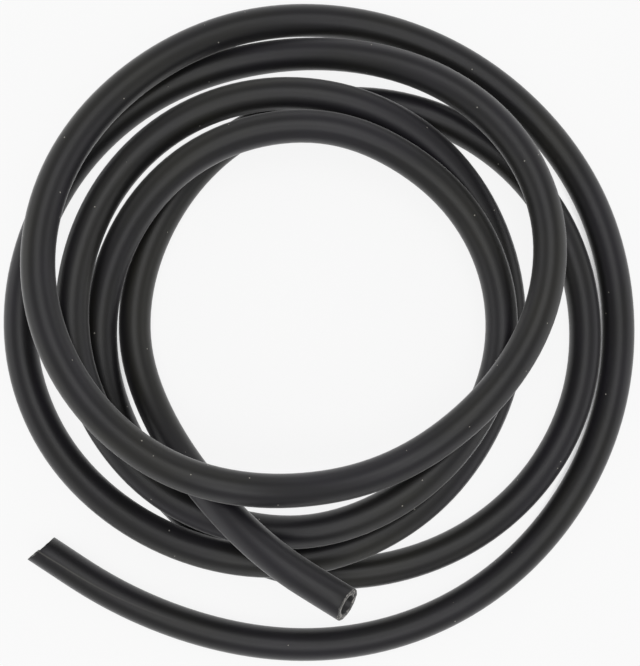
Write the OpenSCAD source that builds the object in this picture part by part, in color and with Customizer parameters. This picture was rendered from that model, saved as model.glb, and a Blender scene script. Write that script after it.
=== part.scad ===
/* [Hose] */
// Bore of the hose
bore_d = 6; // [5:0.5:8]
// Thickness of its rubber wall
wall = 2; // [1.5:0.25:3]

/* [Ends] */
// Straight length of hose at each end
end_len = 13; // [8:1:18]
// How far the cut of the end on the table is off square, in degrees
low_cut = 13; // [0:1:20]
// How far the cut of the end on top of the coil is off square, in degrees
top_cut = 18; // [0:1:20]

/* [Hidden] */

// Outer diameter, which sets the pitch of the turns that touch
hose_d = bore_d + 2 * wall;

// The hose lies coiled by hand in about five turns. Its middle line is given by points at
// equal bearings round the coil, anticlockwise seen from above, one row for each turn.
first_bearing = -155;
bearing_step = 20;

// Distance of each point from the middle of the coil, in hose diameters
reach = concat(
    [12.0, 11.0, 10.4, 10.2, 10.1, 10.0, 9.9, 9.9, 9.9, 10.0, 10.0, 10.1, 10.2, 10.2, 9.9, 9.6, 9.0, 8.0],
    [6.9, 5.9, 5.1, 4.7, 4.6, 4.7, 5.0, 5.7, 6.8, 7.9, 8.6, 8.9, 9.0, 9.2, 9.5, 9.7, 9.8, 9.7],
    [9.2, 8.4, 7.7, 7.2, 6.7, 6.4, 6.2, 6.2, 6.3, 6.5, 6.8, 7.1, 7.4, 7.8, 8.1, 8.1, 7.9, 7.7],
    [7.4, 7.1, 6.6, 6.2, 5.8, 5.6, 5.6, 5.7, 5.8, 5.9, 6.0, 6.1, 6.4, 6.6, 6.8, 6.9, 7.0, 7.1],
    [7.1, 7.2, 7.5, 7.8, 8.0, 8.3, 8.6, 8.8, 8.8, 8.7, 8.4, 8.0, 7.6, 7.2, 6.7, 6.3, 6.1, 6.0],
    [5.8, 5.8, 6.2, 7.2, 8.7]
);

// Height of the hose's underside above the table at each point, in hose diameters
lift = concat(
    [0.0, 0.0, 0.0, 0.0, 0.0, 0.0, 0.0, 0.0, 0.0, 0.0, 0.0, 0.0, 0.1, 0.5, 1.1, 1.6, 2.0, 2.3],
    [2.5, 2.8, 2.8, 2.3, 2.0, 1.9, 2.1, 2.1, 1.9, 1.7, 1.4, 1.0, 0.5, 0.0, 0.0, 0.0, 0.0, 0.1],
    [0.4, 0.8, 1.1, 1.0, 0.8, 0.5, 0.2, 0.0, 0.0, 0.0, 0.3, 0.8, 1.1, 1.0, 0.8, 0.9, 1.2, 1.3],
    [1.1, 1.0, 1.2, 1.6, 1.6, 1.4, 1.1, 1.0, 0.9, 0.9, 1.0, 1.2, 1.4, 1.3, 1.2, 1.0, 0.6, 0.2],
    [0.0, 0.0, 0.0, 0.0, 0.0, 0.0, 0.0, 0.0, 0.0, 0.0, 0.0, 0.0, 0.0, 0.0, 0.0, 0.0, 0.0, 0.1],
    [0.5, 1.4, 2.4, 3.1, 3.4]
);

// Rings of the swept hose between two points, and the sides of its outer and inner wall
rings_per_step = 2;
outer_sides = 12;
bore_sides = 8;
// Sides of the straight round ends, and the spare length of the tools that cut them
end_sides = 96;
spare = 1;
// How deep the swept hose is let into each straight end, with its next ring as far outside it
joint_len = 0.5;
// Share by which its two walls stay inside the rubber of the ends there
joint_gap = 0.01;

points = [
    for (i = [0 : len(reach) - 1])
        let (bearing = first_bearing + i * bearing_step)
        hose_d * [reach[i] * cos(bearing), reach[i] * sin(bearing), lift[i] + 0.5]
];

// A uniform cubic spline, which starts beside the second point and ends beside the last but one
function blend(i, t) =
    (pow(1 - t, 3) * points[i]
    + (3 * pow(t, 3) - 6 * pow(t, 2) + 4) * points[i + 1]
    + (1 + 3 * t + 3 * pow(t, 2) - 3 * pow(t, 3)) * points[i + 2]
    + pow(t, 3) * points[i + 3]) / 6;

function along(i, t) =
    -pow(1 - t, 2) * points[i]
    + (3 * pow(t, 2) - 4 * t) * points[i + 1]
    + (1 + 2 * t - 3 * pow(t, 2)) * points[i + 2]
    + pow(t, 2) * points[i + 3];

function unit(v) = v / norm(v);

spans = len(points) - 3;
steps = spans * rings_per_step;
line = [for (k = [0 : steps]) let (i = min(floor(k / rings_per_step), spans - 1))
    blend(i, k / rings_per_step - i)];
heading = [for (k = [0 : steps]) let (i = min(floor(k / rings_per_step), spans - 1))
    unit(along(i, k / rings_per_step - i))];

// The middle of the coil's outline is brought over the origin
line_x = [for (p = line) p.x];
line_y = [for (p = line) p.y];
shift = -[(min(line_x) + max(line_x)) / 2, (min(line_y) + max(line_y)) / 2, 0];

low_end = line[0] + shift;
low_way = -heading[0];
top_end = line[steps] + shift;
top_way = heading[steps];

// A ring of points round the middle line, upright across its heading
function ring(at, way, r, sides) =
    let (side = unit(cross(way, [0, 0, 1])), up = cross(side, way))
    [for (k = [0 : sides - 1]) at + r * (cos(360 * k / sides) * side + sin(360 * k / sides) * up)];

// Four-sided faces between neighbouring rings, numbered from the point first
function skin(first, rings, sides, outward) = [
    for (j = [0 : rings - 2], k = [0 : sides - 1])
        let (a = first + j * sides + k, b = first + j * sides + (k + 1) % sides)
        outward ? [a, b, b + sides, a + sides] : [a, a + sides, b + sides, b]
];

// The coiled stretch, an outer and an inner wall joined by a flat rim at each end
module swept_hose() {
    centres = concat(
        [low_end + joint_len * low_way, low_end - joint_len * low_way],
        [for (k = [1 : steps - 1]) line[k] + shift],
        [top_end - joint_len * top_way, top_end + joint_len * top_way]
    );
    ways = concat([heading[0]], heading, [heading[steps]]);
    n = len(centres);
    outer_r = hose_d / 2 * (1 - joint_gap);
    inner_r = bore_d / 2 * (1 + joint_gap) / cos(180 / bore_sides);
    outer = [for (j = [0 : n - 1]) each ring(centres[j], ways[j], outer_r, outer_sides)];
    inner = [for (j = [0 : n - 1]) each ring(centres[j], ways[j], inner_r, bore_sides)];
    inner_first = n * outer_sides;
    polyhedron(
        points = concat(outer, inner),
        faces = concat(
            skin(0, n, outer_sides, true),
            skin(inner_first, n, bore_sides, false),
            rim(0, inner_first, true),
            rim((n - 1) * outer_sides, inner_first + (n - 1) * bore_sides, false)
        ),
        convexity = 12
    );
}

// The flat rim between an outer and an inner ring, as triangles from both rings' corners
function rim(a0, b0, front) = [
    for (k = [0 : outer_sides - 1])
        let (
            a = a0 + k,
            b = a0 + (k + 1) % outer_sides,
            c = b0 + round((k + 0.5) * bore_sides / outer_sides) % bore_sides
        )
        front ? [a, c, b] : [a, b, c],
    for (k = [0 : bore_sides - 1])
        let (
            c = b0 + k,
            d = b0 + (k + 1) % bore_sides,
            a = a0 + ceil((k + 0.5) * outer_sides / bore_sides - 0.5) % outer_sides
        )
        front ? [a, c, d] : [a, d, c]
];

// A straight end with its true round bore. Its slanted cut is longest at the given turn.
module straight_end(at, way, slant, longest) {
    translate(at)
        rotate([0, acos(way.z), atan2(way.y, way.x)])
        difference() {
            cylinder(h = end_len + hose_d, d = hose_d, $fn = end_sides);
            translate([0, 0, -spare])
                cylinder(h = end_len + hose_d + 2 * spare, d = bore_d, $fn = end_sides);
            rotate([0, 0, longest])
                translate([0, 0, end_len])
                rotate([0, -slant, 0])
                translate([-hose_d, -hose_d, 0])
                cube([2 * hose_d, 2 * hose_d, 2 * hose_d]);
        }
}

module tubing() {
    color("#3d3b3c") {
        swept_hose();
        straight_end(low_end, low_way, low_cut, 90);
        straight_end(top_end, top_way, top_cut, 0);
    }
}

tubing();
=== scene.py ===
import bisect
import math

import bmesh
import bpy
from mathutils import Matrix, Vector, noise


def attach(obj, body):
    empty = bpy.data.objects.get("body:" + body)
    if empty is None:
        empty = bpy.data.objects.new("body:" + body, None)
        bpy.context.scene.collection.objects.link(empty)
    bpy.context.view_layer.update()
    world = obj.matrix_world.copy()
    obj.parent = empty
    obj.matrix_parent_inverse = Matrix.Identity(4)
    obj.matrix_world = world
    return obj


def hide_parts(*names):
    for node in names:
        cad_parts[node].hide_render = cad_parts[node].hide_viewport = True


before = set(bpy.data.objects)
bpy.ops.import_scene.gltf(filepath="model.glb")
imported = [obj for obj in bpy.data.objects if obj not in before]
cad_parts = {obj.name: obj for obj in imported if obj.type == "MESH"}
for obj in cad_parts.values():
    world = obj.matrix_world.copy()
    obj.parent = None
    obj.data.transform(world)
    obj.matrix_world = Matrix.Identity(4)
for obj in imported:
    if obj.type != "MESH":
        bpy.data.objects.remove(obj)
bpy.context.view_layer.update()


# The camera looks almost straight down on the coil, as in the photograph

cameraSet = {
    "place": (-0.01073, -0.00217, 0.29482),
    "target": (-0.00087, 0.00011, 0.005),
    "lens": 48.75,          # millimetres
    "sensor": 36.0,         # millimetres along the picture's longer side
    "near": 0.01,
    "far": 50.0,
}


def makeCamera(values):
    data = bpy.data.cameras.new("camera")
    data.lens = values["lens"]
    data.sensor_width = values["sensor"]
    data.clip_start = values["near"]
    data.clip_end = values["far"]
    camera = bpy.data.objects.new("camera", data)
    bpy.context.collection.objects.link(camera)
    camera.location = values["place"]
    # turned so that +Y points up in the picture
    ahead = Vector(values["target"]) - Vector(values["place"])
    right = ahead.cross(Vector((0.0, 1.0, 0.0))).normalized()
    up = right.cross(ahead).normalized()
    camera.rotation_euler = Matrix((right, up, -ahead.normalized())).transposed().to_euler()
    bpy.context.scene.camera = camera


makeCamera(cameraSet)
print("camera made")


# The hose. Its route is given by the same points as in the CAD source, at equal bearings round
# the coil, each with its distance from the middle and the height of the hose's underside there.

hose = {
    "outerD": 0.010,
    "boreD": 0.006,
    "endLen": 0.013,          # straight length at each end, to the middle of its cut
    "firstBearing": -155.0,
    "bearingStep": 20.0,
    "cadRings": 2,            # rings of the CAD part between two points, which set its middle
    "routeSteps": 40,         # steps between two points in which the route's length is measured
    "pathStep": 0.010,        # length between the points of the path along the hose
    "sides": 60,
    "ringLen": 0.0032,        # length of hose between two rings of its mesh
    "boreRingLen": 0.0064,
    "weld": 0.000001,         # points of the mesh this close to each other are one
    "rimRound": 0.00016,      # rounding of the cut edges
    "rimSegments": 2,
    "faceCuts": 4,            # rings across the cut face
    "faceRough": 0.00012,     # height of the torn grain on the cut face
    "faceGrain": 0.0011,      # and its size
    "lowSeed": 0.007,         # where in the noise the low end's grain is taken from
    "topSeed": 0.019,         # and the top end's
    "cutReach": 0.0032,       # the small forms of a cut die out this far behind it
    "lowCut": 13.0,           # degrees that the cut on the table is off square
    "lowMore": 0.0004,        # length that the knife left standing on it
    "stepAt": 0.0019,         # a small step across it, its outer part standing further out
    "stepRun": 0.0004,
    "stepHeight": 0.0006,
    "topCut": 18.0,           # degrees that the cut on top of the coil is off square
    "topSkew": 4.0,           # and sideways
    "topMore": 0.0004,
    "reach": [                # in hose diameters
        12.0, 11.0, 10.4, 10.2, 10.1, 10.0, 9.9, 9.9, 9.9, 10.0, 10.0, 10.1, 10.2, 10.2, 9.9, 9.6, 9.0, 8.0,
        6.9, 5.9, 5.1, 4.7, 4.6, 4.7, 5.0, 5.7, 6.8, 7.9, 8.6, 8.9, 9.0, 9.2, 9.5, 9.7, 9.8, 9.7,
        9.2, 8.4, 7.7, 7.2, 6.7, 6.4, 6.2, 6.2, 6.3, 6.5, 6.8, 7.1, 7.4, 7.8, 8.1, 8.1, 7.9, 7.7,
        7.4, 7.1, 6.6, 6.2, 5.8, 5.6, 5.6, 5.7, 5.8, 5.9, 6.0, 6.1, 6.4, 6.6, 6.8, 6.9, 7.0, 7.1,
        7.1, 7.2, 7.5, 7.8, 8.0, 8.3, 8.6, 8.8, 8.8, 8.7, 8.4, 8.0, 7.6, 7.2, 6.7, 6.3, 6.1, 6.0,
        5.8, 5.8, 6.2, 7.2, 8.7,
    ],
    "lift": [
        0.0, 0.0, 0.0, 0.0, 0.0, 0.0, 0.0, 0.0, 0.0, 0.0, 0.0, 0.0, 0.1, 0.5, 1.1, 1.6, 2.0, 2.3,
        2.5, 2.8, 2.8, 2.3, 2.0, 1.9, 2.1, 2.1, 1.9, 1.7, 1.4, 1.0, 0.5, 0.0, 0.0, 0.0, 0.0, 0.1,
        0.4, 0.8, 1.1, 1.0, 0.8, 0.5, 0.2, 0.0, 0.0, 0.0, 0.3, 0.8, 1.1, 1.0, 0.8, 0.9, 1.2, 1.3,
        1.1, 1.0, 1.2, 1.6, 1.6, 1.4, 1.1, 1.0, 0.9, 0.9, 1.0, 1.2, 1.4, 1.3, 1.2, 1.0, 0.6, 0.2,
        0.0, 0.0, 0.0, 0.0, 0.0, 0.0, 0.0, 0.0, 0.0, 0.0, 0.0, 0.0, 0.0, 0.0, 0.0, 0.0, 0.0, 0.1,
        0.5, 1.4, 2.4, 3.1, 3.4,
    ],
}


def routePoints(values):
    points = []
    for i, (reach, lift) in enumerate(zip(values["reach"], values["lift"])):
        bearing = math.radians(values["firstBearing"] + i * values["bearingStep"])
        # half a diameter over its underside runs the middle of the hose
        at = Vector((reach * math.cos(bearing), reach * math.sin(bearing), lift + 0.5))
        points.append(at * values["outerD"])
    return points


def onSpline(points, at):
    # place and heading on the uniform cubic spline, where at counts its spans
    i = min(int(at), len(points) - 4)
    t = at - i
    a, b, c, d = points[i:i + 4]
    place = (a * (1 - t) ** 3 + b * (3 * t ** 3 - 6 * t ** 2 + 4)
             + c * (1 + 3 * t + 3 * t ** 2 - 3 * t ** 3) + d * t ** 3) / 6
    heading = (-a * (1 - t) ** 2 + b * (3 * t ** 2 - 4 * t)
               + c * (1 + 2 * t - 3 * t ** 2) + d * t ** 2)
    return place, heading.normalized()


def makeRoute(values):
    # a table of length, place and heading along the curve, its length counted from the low end's tip
    points = routePoints(values)
    spans = len(points) - 3
    rings, steps = values["cadRings"], values["routeSteps"]
    # the middle of the coil's outline is brought over the origin, as in the CAD part
    outline = [onSpline(points, k / rings)[0] for k in range(rings * spans + 1)]
    shift = Vector([-(min(p[a] for p in outline) + max(p[a] for p in outline)) / 2 for a in (0, 1)] + [0])
    table = []
    length = values["endLen"]
    for k in range(steps * spans + 1):
        place, heading = onSpline(points, k / steps)
        if table:
            length += (place + shift - table[-1][1]).length
        table.append((length, place + shift, heading))
    return table


def alongRoute(table, s):
    # place and heading at the length s, which runs straight on past both ends of the curve
    first, last = table[0], table[-1]
    if s <= first[0]:
        return first[1] + first[2] * (s - first[0]), first[2]
    if s >= last[0]:
        return last[1] + last[2] * (s - last[0]), last[2]
    after = bisect.bisect_right(table, s, key=lambda row: row[0])
    a, b = table[after - 1], table[after]
    t = (s - a[0]) / (b[0] - a[0])
    return a[1].lerp(b[1], t), a[2].lerp(b[2], t).normalized()


route = makeRoute(hose)
hoseLen = route[-1][0] + hose["endLen"]
print("route laid, %.3f m" % hoseLen)


# The hose is modelled straight along Z, then every point of it is laid on the route

def drawLoop(bm, loop):
    # draws a loop of edges out, and gives the points and the edges of the new loop
    drawn = bmesh.ops.extrude_edge_only(bm, edges=loop)["geom"]
    verts = [v for v in drawn if isinstance(v, bmesh.types.BMVert)]
    edges = [e for e in drawn if isinstance(e, bmesh.types.BMEdge) and all(v in verts for v in e.verts)]
    return verts, edges


def makeTube(bm, values, radius, ringLen):
    # an open wall as long as the hose, of which it gives the first and last loop
    made = bmesh.ops.create_circle(bm, cap_ends=False, radius=radius, segments=values["sides"])
    first = list(dict.fromkeys(e for v in made["verts"] for e in v.link_edges))
    far, last = drawLoop(bm, first)
    bmesh.ops.translate(bm, verts=far, vec=(0.0, 0.0, hoseLen))
    lengthwise = [e for v in far for e in v.link_edges if e not in last]
    bmesh.ops.subdivide_edges(bm, edges=lengthwise, cuts=int(hoseLen / ringLen))
    return first, last


def drawInward(bm, values, loop):
    # the flat end of the hose, as rings from its outer wall in to the bore
    outerR, boreR, count = values["outerD"] / 2, values["boreD"] / 2, values["faceCuts"] + 1
    radius = outerR
    for k in range(count):
        verts, loop = drawLoop(bm, loop)
        target = outerR + (boreR - outerR) * (k + 1) / count
        bmesh.ops.scale(bm, verts=verts, vec=(target / radius, target / radius, 1.0))
        radius = target


def onRim(values, co):
    # on the edge of the outer wall or of the bore, at either end
    r = math.hypot(co.x, co.y)
    fromEnd = min(abs(co.z), abs(co.z - hoseLen))
    fromWall = min(abs(r - values["outerD"] / 2), abs(r - values["boreD"] / 2))
    return max(fromEnd, fromWall) < values["weld"]


def cutForm(values, x, y, s):
    # how far a point near a cut stands from its place on a hose cut square
    lowEnd = s < hoseLen / 2
    fromCut = s if lowEnd else hoseLen - s
    if fromCut > values["endLen"]:
        return 0.0
    # the slant of each cut runs out over the straight end, its small forms close behind it
    share = 1 - fromCut / values["endLen"]
    close = max(0.0, 1 - fromCut / values["cutReach"])
    seed = values["lowSeed"] if lowEnd else values["topSeed"]
    torn = noise.noise(Vector((x, y, seed)) / values["faceGrain"]) * values["faceRough"]
    if lowEnd:
        step = min(max((x - values["stepAt"]) / values["stepRun"], 0.0), 1.0) * values["stepHeight"]
        slant = -math.tan(math.radians(values["lowCut"])) * x
        return slant * share - (values["lowMore"] + step + torn) * close
    slant = math.tan(math.radians(values["topSkew"])) * x - math.tan(math.radians(values["topCut"])) * y
    return slant * share + (values["topMore"] + torn) * close


def addPiece(bm, name):
    mesh = bpy.data.meshes.new(name)
    bm.to_mesh(mesh)
    bm.free()
    piece = bpy.data.objects.new(name, mesh)
    bpy.context.collection.objects.link(piece)
    return piece


def makeHose(values):
    outerR, boreR, rim = values["outerD"] / 2, values["boreD"] / 2, values["rimRound"]
    bm = bmesh.new()
    ends = makeTube(bm, values, outerR, values["ringLen"])
    makeTube(bm, values, boreR, values["boreRingLen"])
    for loop in ends:
        drawInward(bm, values, loop)
    bmesh.ops.remove_doubles(bm, verts=bm.verts, dist=values["weld"])
    bmesh.ops.recalc_face_normals(bm, faces=bm.faces)      # or the bevel folds over at the bore
    rims = [e for e in bm.edges if all(onRim(values, v.co) for v in e.verts)]
    bmesh.ops.bevel(bm, geom=rims, offset=rim, offset_type="OFFSET", affect="EDGES",
                    segments=values["rimSegments"], profile=0.5, material=-1, clamp_overlap=True)

    straight = bm.verts.layers.float_vector.new("straight")
    cut = bm.verts.layers.float.new("cut")
    for v in bm.verts:
        x, y, s = v.co
        # the materials read its place on the straight hose, and its share in the cut, which is
        # 1 on the cut face, 0.5 halfway round its rims and 0 on the walls
        v[straight] = v.co
        if min(s, hoseLen - s) < rim / 2:
            r = math.hypot(x, y)
            v[cut] = 1.0 if min(r - boreR, outerR - r) > rim / 2 else 0.5
        s += cutForm(values, x, y, s)
        place, heading = alongRoute(route, s)
        side = heading.cross(Vector((0.0, 0.0, 1.0))).normalized()
        up = side.cross(heading)
        v.co = place + side * x + up * y
    bmesh.ops.recalc_face_normals(bm, faces=bm.faces)      # the route turned them inwards
    piece = addPiece(bm, "hose")
    piece.data.shade_smooth()
    return piece


hosePiece = makeHose(hose)
print("hose made, %d faces" % len(hosePiece.data.polygons))


# Materials

def toLinear(colour):
    # an sRGB hex colour as linear red, green, blue and alpha
    parts = [int(colour[i:i + 2], 16) / 255 for i in (1, 3, 5)]
    return [p / 12.92 if p <= 0.04045 else ((p + 0.055) / 1.055) ** 2.4 for p in parts] + [1.0]


def addNode(tree, kind, values=None, links=None, **settings):
    # a node with its settings, the values of its sockets and the sockets that feed it
    node = tree.nodes.new(kind)
    for name, value in settings.items():
        setattr(node, name, value)
    for key, value in (values or {}).items():
        node.inputs[key].default_value = value
    for key, source in (links or {}).items():
        tree.links.new(source, node.inputs[key])
    return node


def startMaterial(name):
    material = bpy.data.materials.new(name)
    material.use_nodes = True
    material.node_tree.nodes.clear()
    return material, material.node_tree


# Extruded black rubber, cured in steam: a matt satin skin with a fine grain, a few faint lines
# along it from the die, a bloom that tints it slightly, and pale dust. The knife left its cut ends matt,
# with pale bits torn out of them, and a painted highlight lies as a pale band along the upper half of the
# bore.

rubberLook = {
    "dark": "#151416",
    "violet": "#1c1a20",
    "olive": "#1e1d18",
    "cutDark": "#1b1a19",
    "cutPaleAndHighlight": "#a8a49d",
    # pale of the torn bits, and of the painted highlight along the bore
    "dust": "#a9a59c",
    "scar": "#55534f",
    "sheen": 0.60,          # bloom that brightens the hose's outline
    "sheenRoughness": 0.35,
    "roughness": 0.43,
    "roughSpread": 0.05,    # up and down from it, along the die lines
    "cutRoughness": 0.9,
    "ior": 1.52,
    "tintLen": 0.055,       # a patch of bloom, 55 mm along the hose and 12 mm round it
    "tintWidth": 0.012,
    "violetUpTo": 0.36,     # the noise of the bloom gives violet up to here, dark at the next value
    "darkAt": 0.5,
    "oliveFrom": 0.66,      # and olive from here
    "grain": 0.00055,       # real grain is 0.1 mm, drawn at 0.55 mm so that it shows
    "lineWidth": 0.0009,    # die lines a little under a millimetre apart
    "linesPerMetre": 6.0,   # how fast they change along the hose
    "bump": 0.14,
    "bumpHeight": 0.00005,
    "dustGap": 0.0055,      # one speck of dust in each cell of 5.5 mm
    "dustSize": 0.00021,
    "highlightBandWidth": 0.0010,    # painted highlight: a pale band along the upper half of the bore on the cut ends
    "bitSize": 0.0009,      # pale torn bits on the rest of the cut
    "bitsFrom": 0.52,       # the noise of the bits is dark up to here
    "bitsFull": 0.66,       # and pale from here
    "scarFrom": -0.0004,    # a scar along the low end, this far beside its crown at the tip
    "scarTo": -0.0018,      # and this far where it fades out
    "scarLen": 0.050,
    "scarWidth": 0.00035,
}


def bloomTint(tree, values, spot):
    # the colour of the skin
    size = addNode(tree, "ShaderNodeMapping", {
        "Scale": (1 / values["tintWidth"], 1 / values["tintWidth"], 1 / values["tintLen"])}, {"Vector": spot})
    bloom = addNode(tree, "ShaderNodeTexNoise", {"Scale": 1.0, "Detail": 3.0}, {"Vector": size.outputs[0]})
    tint = addNode(tree, "ShaderNodeValToRGB", links={"Fac": bloom.outputs["Fac"]})
    low, high = tint.color_ramp.elements
    low.position, low.color = values["violetUpTo"], toLinear(values["violet"])
    high.position, high.color = values["oliveFrom"], toLinear(values["olive"])
    tint.color_ramp.elements.new(values["darkAt"]).color = toLinear(values["dark"])
    return tint.outputs["Color"]


def scarShare(tree, values, x, z, upper):
    # 1 on the scar, which runs slightly across the low end and fades along it
    middle = addNode(tree, "ShaderNodeMapRange", {
        "From Max": values["scarLen"], "To Min": values["scarFrom"], "To Max": values["scarTo"]},
        {"Value": z})
    offset = addNode(tree, "ShaderNodeMath", links={0: x, 1: middle.outputs[0]}, operation="SUBTRACT")
    distance = addNode(tree, "ShaderNodeMath", links={0: offset.outputs[0]}, operation="ABSOLUTE")
    near = addNode(tree, "ShaderNodeMapRange", {
        "From Max": values["scarWidth"], "To Min": 1.0, "To Max": 0.0}, {"Value": distance.outputs[0]})
    above = addNode(tree, "ShaderNodeMath", links={0: near.outputs[0], 1: upper}, operation="MULTIPLY")
    fade = addNode(tree, "ShaderNodeMapRange", {
        "From Max": values["scarLen"], "To Min": 1.0, "To Max": 0.0}, {"Value": z})
    share = addNode(tree, "ShaderNodeMath", links={0: above.outputs[0], 1: fade.outputs[0]},
                    operation="MULTIPLY")
    return share.outputs[0]


def paleAndHighlightShare(tree, values, spot, x, y, upper):
    # 1 where the cut is pale: in the torn bits, and in the painted highlight along the upper half of the bore
    across = addNode(tree, "ShaderNodeCombineXYZ", links={0: x, 1: y})
    radius = addNode(tree, "ShaderNodeVectorMath", links={0: across.outputs[0]}, operation="LENGTH")
    boreR = hose["boreD"] / 2
    band = addNode(tree, "ShaderNodeMapRange", {
        "From Min": boreR, "From Max": boreR + values["highlightBandWidth"], "To Min": 1.0, "To Max": 0.0},
        {"Value": radius.outputs["Value"]})
    # painted highlight: the band is kept on the upper half alone, where light from above falls on the bore's
    # edge
    paintedHighlightBand = addNode(tree, "ShaderNodeMath", links={0: band.outputs[0], 1: upper}, operation="MULTIPLY")
    torn = addNode(tree, "ShaderNodeTexNoise", {"Scale": 1 / values["bitSize"], "Detail": 2.0},
                   {"Vector": spot})
    bits = addNode(tree, "ShaderNodeMapRange", {
        "From Min": values["bitsFrom"], "From Max": values["bitsFull"]}, {"Value": torn.outputs["Fac"]})
    share = addNode(tree, "ShaderNodeMath", links={0: paintedHighlightBand.outputs[0], 1: bits.outputs[0]},
                    operation="MAXIMUM")
    return share.outputs[0]


def makeRubber(values):
    material, tree = startMaterial("blackRubber")
    # the place on the hose laid straight, in metres: X and Y across it, Z along it
    spot = addNode(tree, "ShaderNodeAttribute", attribute_name="straight").outputs["Vector"]
    cut = addNode(tree, "ShaderNodeAttribute", attribute_name="cut").outputs["Fac"]
    x, y, z = addNode(tree, "ShaderNodeSeparateXYZ", links={0: spot}).outputs
    upper = addNode(tree, "ShaderNodeMath", {1: 0.0}, {0: y}, operation="GREATER_THAN").outputs[0]

    lengthwise = addNode(tree, "ShaderNodeMapping", {
        "Scale": (1 / values["lineWidth"], 1 / values["lineWidth"], values["linesPerMetre"])},
        {"Vector": spot})
    lines = addNode(tree, "ShaderNodeTexNoise", {"Scale": 1.0, "Detail": 2.0},
                    {"Vector": lengthwise.outputs[0]})
    grain = addNode(tree, "ShaderNodeTexNoise", {"Scale": 1 / values["grain"], "Detail": 3.0},
                    {"Vector": spot})
    specks = addNode(tree, "ShaderNodeTexVoronoi", {"Scale": 1 / values["dustGap"]}, {"Vector": spot})
    dust = addNode(tree, "ShaderNodeMath", {1: values["dustSize"] / values["dustGap"]},
                   {0: specks.outputs["Distance"]}, operation="LESS_THAN")

    # sockets 0, 6 and 7 of a colour mix are its share and the colours under and over
    scarred = addNode(tree, "ShaderNodeMix", {7: toLinear(values["scar"])},
                      {0: scarShare(tree, values, x, z, upper), 6: bloomTint(tree, values, spot)},
                      data_type="RGBA")
    dusty = addNode(tree, "ShaderNodeMix", {7: toLinear(values["dust"])},
                    {0: dust.outputs[0], 6: scarred.outputs[2]}, data_type="RGBA")
    # the cut's colour, pale in the torn bits and in the painted highlight along the bore
    cutColour = addNode(tree, "ShaderNodeMix", {
        6: toLinear(values["cutDark"]), 7: toLinear(values["cutPaleAndHighlight"])},
        {0: paleAndHighlightShare(tree, values, spot, x, y, upper)}, data_type="RGBA")
    colour = addNode(tree, "ShaderNodeMix", links={0: cut, 6: dusty.outputs[2], 7: cutColour.outputs[2]},
                     data_type="RGBA")

    worn = addNode(tree, "ShaderNodeMapRange", {"To Min": values["roughness"] - values["roughSpread"],
                                                "To Max": values["roughness"] + values["roughSpread"]},
                   {"Value": lines.outputs["Fac"]})
    rough = addNode(tree, "ShaderNodeMix", {3: values["cutRoughness"]}, {0: cut, 2: worn.outputs[0]},
                    data_type="FLOAT")
    height = addNode(tree, "ShaderNodeMath", links={0: grain.outputs["Fac"], 1: lines.outputs["Fac"]},
                     operation="ADD")
    bump = addNode(tree, "ShaderNodeBump", {"Strength": values["bump"], "Distance": values["bumpHeight"]},
                   {"Height": height.outputs[0]})
    shader = addNode(tree, "ShaderNodeBsdfPrincipled", {
        "IOR": values["ior"], "Sheen Weight": values["sheen"], "Sheen Roughness": values["sheenRoughness"],
    }, {"Base Color": colour.outputs[2], "Roughness": rough.outputs[0], "Normal": bump.outputs[0]})
    addNode(tree, "ShaderNodeOutputMaterial", links={"Surface": shader.outputs["BSDF"]})
    return material


hosePiece.data.materials.append(makeRubber(rubberLook))
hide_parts("tubing")
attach(hosePiece, "root")
pathCount = int(hoseLen / hose["pathStep"])
hosePath = [alongRoute(route, hoseLen * k / pathCount)[0] for k in range(pathCount + 1)]


# A table in white paint that shows as pure white itself and keeps a faint shadow of the hose; its white is
# dimmed in the gaps between turns, a painted shade.

floorSet = {
    "size": 6.0,
    "colour": "#f4f4f4",
    "shine": 0.88,       # share of the plain white in what the camera sees
    "gap": 0.01,         # painted shade: the white fades in gaps between turns, by how far they are shut in within 10 mm
    "gapFrom": 0.04,     # open share of a gap that still gets none of the white
    "gapTo": 0.16,       # and of one that gets all of it
}


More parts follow.
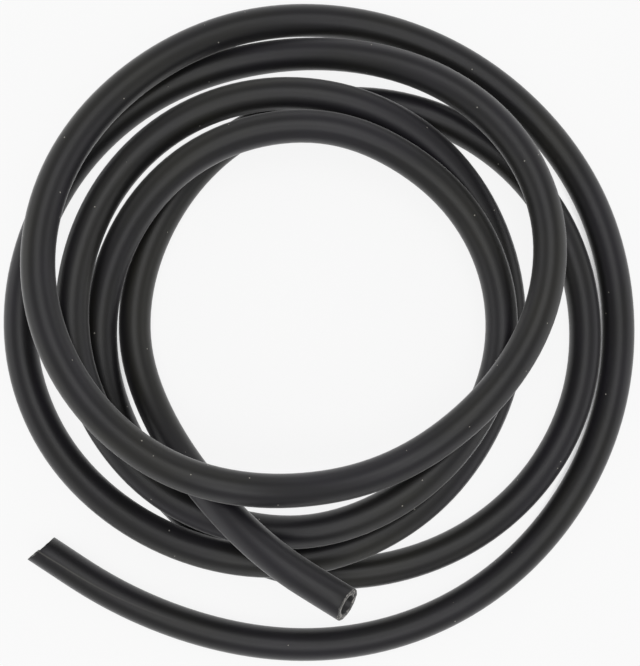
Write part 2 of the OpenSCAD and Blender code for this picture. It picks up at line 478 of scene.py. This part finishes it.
def makeFloor(values):
    bm = bmesh.new()
    bmesh.ops.create_grid(bm, x_segments=1, y_segments=1, size=values["size"] / 2)
    floor = addPiece(bm, "floor")
    material, tree = startMaterial("whiteTable")
    paint = addNode(tree, "ShaderNodeBsdfDiffuse", {"Color": toLinear(values["colour"])})
    white = addNode(tree, "ShaderNodeEmission", {"Color": (1, 1, 1, 1), "Strength": 1.0})
    # white to the camera, in the hose's gloss and through glass, but no light on the hose
    path = addNode(tree, "ShaderNodeLightPath")
    seen = addNode(tree, "ShaderNodeMath", links={
        0: path.outputs["Is Camera Ray"], 1: path.outputs["Is Glossy Ray"]}, operation="ADD")
    seenToo = addNode(tree, "ShaderNodeMath", links={
        0: seen.outputs[0], 1: path.outputs["Is Transmission Ray"]}, operation="ADD", use_clamp=True)
    # painted shade: the white seen in the gaps between turns is dimmed by their ambient occlusion
    paintedGapShade = addNode(tree, "ShaderNodeAmbientOcclusion", {"Distance": values["gap"]})
    lit = addNode(tree, "ShaderNodeMapRange", {
        "From Min": values["gapFrom"], "From Max": values["gapTo"], "To Max": values["shine"]},
        {"Value": paintedGapShade.outputs["AO"]})
    share = addNode(tree, "ShaderNodeMath", links={0: seenToo.outputs[0], 1: lit.outputs[0]},
                    operation="MULTIPLY")
    mix = addNode(tree, "ShaderNodeMixShader", links={
        0: share.outputs[0], 1: paint.outputs[0], 2: white.outputs[0]})
    addNode(tree, "ShaderNodeOutputMaterial", links={"Surface": mix.outputs[0]})
    material.cycles.emission_sampling = "NONE"      # or its reflection in the hose comes out too dim
    floor.data.materials.append(material)


makeFloor(floorSet)
print("table made")


# Soft boxes above both long sides of the table and beside it, and a white room that is brighter
# low down, where the hose's sides reflect it

lampSet = [
    {"name": "softboxBottom", "place": (0.0, -0.16, 0.55), "size": (0.3, 0.24), "power": 0.48},
    {"name": "softboxTop", "place": (0.0, 0.16, 0.55), "size": (0.3, 0.24), "power": 0.52},
    {"name": "softboxLeft", "place": (-0.75, 0.0, 0.35), "size": (0.4, 1.0), "power": 0.8},
    {"name": "softboxRight", "place": (0.75, 0.0, 0.35), "size": (0.4, 1.0), "power": 0.7},
]


def makeLamps(lamps):
    for lamp in lamps:
        data = bpy.data.lights.new(lamp["name"], "AREA")
        data.shape = "RECTANGLE"
        data.size, data.size_y = lamp["size"]
        data.energy = lamp["power"]
        made = bpy.data.objects.new(lamp["name"], data)
        bpy.context.collection.objects.link(made)
        made.location = lamp["place"]
        # each box hangs over one of the axes, so it is turned towards the coil about one axis alone
        x, y, z = lamp["place"]
        made.rotation_euler = (-math.atan2(y, z), math.atan2(x, z), 0.0)


worldSet = {
    "low": 1.0,          # strength of the white room at the horizon
    "high": 0.28,        # and overhead
    "height": 0.60,      # where it reaches that, as the upward share of the direction
}


def makeWorld(values):
    world = bpy.data.worlds.new("studio")
    bpy.context.scene.world = world
    world.use_nodes = True
    tree = world.node_tree
    tree.nodes.clear()
    way = addNode(tree, "ShaderNodeTexCoord")
    parts = addNode(tree, "ShaderNodeSeparateXYZ", links={0: way.outputs["Generated"]})
    strength = addNode(tree, "ShaderNodeMapRange", {
        "From Max": values["height"], "To Min": values["low"], "To Max": values["high"]},
        {"Value": parts.outputs["Z"]})
    light = addNode(tree, "ShaderNodeBackground", {"Color": (1, 1, 1, 1)}, {"Strength": strength.outputs[0]})
    addNode(tree, "ShaderNodeOutputWorld", links={"Surface": light.outputs[0]})


makeLamps(lampSet)
makeWorld(worldSet)
bpy.context.scene.view_settings.view_transform = "Standard"
print("lights made")
